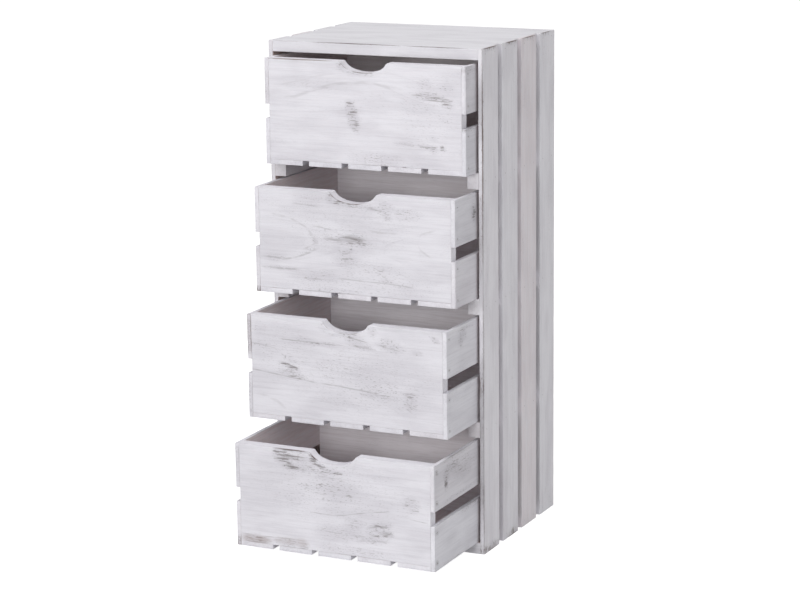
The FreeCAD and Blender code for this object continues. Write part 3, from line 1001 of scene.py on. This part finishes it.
# Dark ring lines: width, strength, then points along and across the grain, in mm from the board's middle.
FRONT_LINES = {
    1: [(5.0, 0.24, (-184, 20.5), (-120, 21), (-100, 28), (-80, 35), (-60, 41), (-40, 45), (0, 48),
         (20, 47), (40, 43), (70, 40)), (2.6, 0.14, (-150, 38), (-110, 46), (-80, 55), (-50, 60)),
        (1.6, 0.30, (45, -42), (84, -45)), (1.5, 0.95, (80, 33), (100, 32.3), (120, 30), (148, 28)),
        (1.3, 0.75, (100, 26.5), (120, 25.5), (150, 24)), (1.2, 0.60, (92, 38.5), (112, 37.5), (136, 36)),
        (1.2, 0.65, (118, 21), (132, 20), (150, 19)), (1.4, 0.75, (84, -44), (110, -46), (126, -47.5)),
        (1.4, 0.80, (118, -49), (148, -49))],
    2: [(3.1, 0.43, (-164, -47), (-125, -47.5), (-88, -46.5)),
        (3.1, 0.39, (-164, -29), (-120, -32), (-100, -28), (-80, -20), (-56, -8)),
        (3.4, 0.24, (108, 10), (116, 24), (142, 32)), (3.4, 0.24, (108, 10), (114, -2), (136, -14)),
        (3.4, 0.26, (-150, 40), (-110, 34), (-84, 22), (-64, 4)),
        (2.0, 0.38, (-90, -59), (-70, -60), (-52, -59.5), (-20, -56), (20, -57), (60, -57.5), (105, -61)),
        (2.5, 0.39, (-76, 25), (-55, 23), (-40, 20), (-20, 13), (4, 8)),
        (2.2, 0.42, (-24, -19), (-10, -15), (2, -9)), (2.8, 0.42, (-80, 12), (-70, 6), (-62, 0)),
        (2.8, 0.42, (-92, -16), (-74, -8), (-62, 0)), (3.1, 0.26, (20, 24), (50, 21), (80, 22)),
        (1.8, 0.38, (-108, 57.5), (-85, 56.5), (-56, 55)), (2.0, 0.42, (16, 58.5), (35, 57), (52, 54))],
    3: [(1.5, 0.62, (-118, 45), (-90, 44), (-60, 44.5), (-30, 43), (0, 43.6)),
        (2.4, 0.46, (-168, -8), (-110, -14), (-58, -19.5), (-18, -21.4), (40, -26), (78, -34)),
        (1.4, 0.45, (12, 44), (35, 43), (54, 42)), (1.5, 0.55, (-4, 59), (22, 55), (44, 51)),
        (1.5, 0.65, (54, 51), (72, 47), (96, 43)), (2.0, 0.85, (-114, 9), (-98, 4), (-78, -1)),
        (1.6, 0.40, (-165, 35), (-145, 32), (-118, 28)), (1.6, 0.45, (94, -21.5), (124, -23)),
        (5.0, 0.16, (-165, -45), (-140, -50), (-120, -57), (-108, -66), (-101, -79))],
    4: [(1.3, 0.55, (-44, -17.5), (-3, -18.5), (22, -15), (47, -9), (72, -4.4), (100, 0)),
        (1.8, 0.70, (54, -32), (75, -27), (99, -25.5)), (1.5, 0.40, (128, -8.5), (148, -10), (164, -12)),
        (1.4, 0.35, (-30, -44), (20, -47), (44, -46.4), (60, -45), (88, -42)),
        (1.4, 0.50, (36, -55), (46, -53.5), (66, -52), (86, -50), (94, -49)),
        (1.5, 0.50, (-166, -67), (-140, -67.4), (-110, -67.2), (-76, -66), (-48, -65.8))],
}
# Knots and stains are given like rubbed spots.
FRONT_KNOTS = {2: [(-3, 8, 24, 5.5, 1.0), (-30, 4.5, 24, 3.5, 0.6)], 4: [(92, -37, 14, 5, 0.40)]}
FRONT_STAINS = {1: [(-112, 79.6, 60, 2.5, 0.7)],
                4: [(-137, -74, 33, 8.0, 0.70), (-86, -71, 26, 6.5, 0.42), (-58, -70, 16, 8, 0.48)]}
# Painted shade: each drawer's right side slats get a darker tone for the shade on that side of the drawers.
RIGHT_SLAT_SHADE_TONES = {f"drawer_{number}_right_{level}_slat": tone
              for level, tones in (("upper", (0.85, 0.88, 0.93, 0.86)), ("lower", (0.86, 0.89, 0.92, 0.93)))
              for number, tone in enumerate(tones, 1)}
# How much rust the nails of each drawer's sides have bled into the wash.
RUST_SHOW = {1: 0.25, 2: 0.25, 3: 0.45, 4: 0.75}
SIDE_RUBS = {
    "drawer_1_left_upper_slat": [(-142, -10, 8, 30, 0.22)],
    "drawer_1_right_lower_slat": [(-130, 34, 24, 3, 0.5)],
    "drawer_1_right_upper_slat": [(-128, 30, 24, 6, 0.5)],
    "drawer_2_left_lower_slat": [(20, 0, 60, 18, 0.4), (-142, -10, 8, 26, 0.15), (-142, -34, 8, 8, 0.7)],
    "drawer_2_right_upper_slat": [(-72, 4, 10, 14, 1.0), (-76, 16, 10, 12, 0.55)],
    "drawer_3_left_lower_slat": [(-142, 0, 8, 40, 0.28)],
    "drawer_3_left_upper_slat": [(-142, 6, 8, 40, 0.60)],
    "drawer_3_right_upper_slat": [(-90, 14, 9, 14, 0.80), (-80, 20, 14, 12, 0.55), (-70, 30, 40, 4, 0.6)],
    "drawer_4_left_lower_slat": [(-142, -28, 6, 12, 0.6), (-60, 0, 60, 18, 0.4)],
    "drawer_4_left_upper_slat": [(-142, 0, 8, 44, 0.24)],
    "drawer_4_right_lower_slat": [(10, 33, 80, 5, 0.55), (-60, -33, 60, 3, 0.45)],
    "drawer_4_right_upper_slat": [(-100, -2, 8, 11, 1.25), (-98, 12, 12, 12, 0.80),
                                  (-72, 20, 40, 12, 0.60), (-30, 10, 50, 20, 0.40),
                                  (-30, -30, 90, 4, 0.5), (-60, 34, 60, 3, 0.5)],
}
BOTTOM_RUBS = {f"washed_drawer_4_bottom_slat_{place}": [(-142, 0, 3.5, 28, 0.14)] for place in (1, 2)}


def drawer_board(node, body, along, nails=(), inner_face=None, tone=None, box=None, name=None,
                 slot=DRAWER_SLOT, scoop=None, log=None, **marks):
    """One board of a drawer, in its CAD node's own box or in a part of it."""
    name = name or "washed_" + node
    board = Board(*(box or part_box(node)), along, seed=name, scoop=scoop, **(log or {}))
    blank = scooped_blank(board.low, board.high, scoop) if scoop else plain_blank(board.low, board.high)
    chance = random.Random("tone " + name)
    tone = tone or chance.uniform(0.98, 1.012)
    return finish_board(name, blank, board, nails, DRAWER_WASH, node, body, slot, inner_face, tone,
                        chance.uniform(0.0, 0.06), **marks)


BOTTOM_SLATS = 5
BOTTOM_SLAT_GAP = 11.5 * MM
BOTTOM_TONE = 0.985


def bottom_slat_boxes(node):
    """The CAD node holds five slats. Its box and the gaps of the drawing give each slat's own box."""
    low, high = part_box(node)
    width = (high.x - low.x - (BOTTOM_SLATS - 1) * BOTTOM_SLAT_GAP) / BOTTOM_SLATS
    for number in range(BOTTOM_SLATS):
        start = low.x + number * (width + BOTTOM_SLAT_GAP)
        yield Vector((start, low.y, low.z)), Vector((start + width, high.y, high.z))


def build_drawer(number):
    """All of one drawer's boards and nails. Returns the number of nails."""
    body = f"drawer_{number}"
    front, back = f"{body}_front_board", f"{body}_back_board"
    supports = [centre_of(front, Y), centre_of(back, Y)]
    drawer_board(front, body, X, inner_face=(Y, -1), patches=FRONT_RUBS[number],
                 knots=FRONT_KNOTS.get(number, ()), lines=FRONT_LINES[number],
                 stains=FRONT_STAINS.get(number, ()), tone=FRONT_TONES[number],
                 scoop=Scoop(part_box(front)[1].z), log=FRONT_LOGS[number])
    drawer_board(back, body, X, inner_face=(Y, 1))
    nails = []
    for side, sign in SIDES:
        for level in ("upper", "lower"):
            node = f"{body}_{side}_{level}_slat"
            slat = slat_nails(node, X, sign, Z, Y, supports)
            drawer_board(node, body, Y, slat, inner_face=(X, sign), tone=RIGHT_SLAT_SHADE_TONES.get(node),
                         deep_patches=SIDE_RUBS.get(node, ()), halo=RUST_SHOW[number])
            nails += slat
    node = f"{body}_bottom_slats"
    for place, (low, high) in enumerate(bottom_slat_boxes(node), 1):
        name = f"washed_{body}_bottom_slat_{place}"
        slat = [nail_at(Z, -1, (x, support + NAIL_STAGGER, low.z)) for support in supports
                for x in (low.x + NAIL_EDGE_DISTANCE, high.x - NAIL_EDGE_DISTANCE)]
        drawer_board(node, body, Y, slat, inner_face=(Z, -1), tone=FRONT_TONES[number] * BOTTOM_TONE,
                     box=(low, high), name=name, slot=INNER_SLOT, deep_patches=BOTTOM_RUBS.get(name, ()))
        nails += slat
    add_nail_heads(f"{body}_nail_heads", nails, f"{body}_nails", body, DRAWER_STEEL)
    return len(nails)


for drawer in range(1, 5):
    print("drawer", drawer, "nails:", build_drawer(drawer))
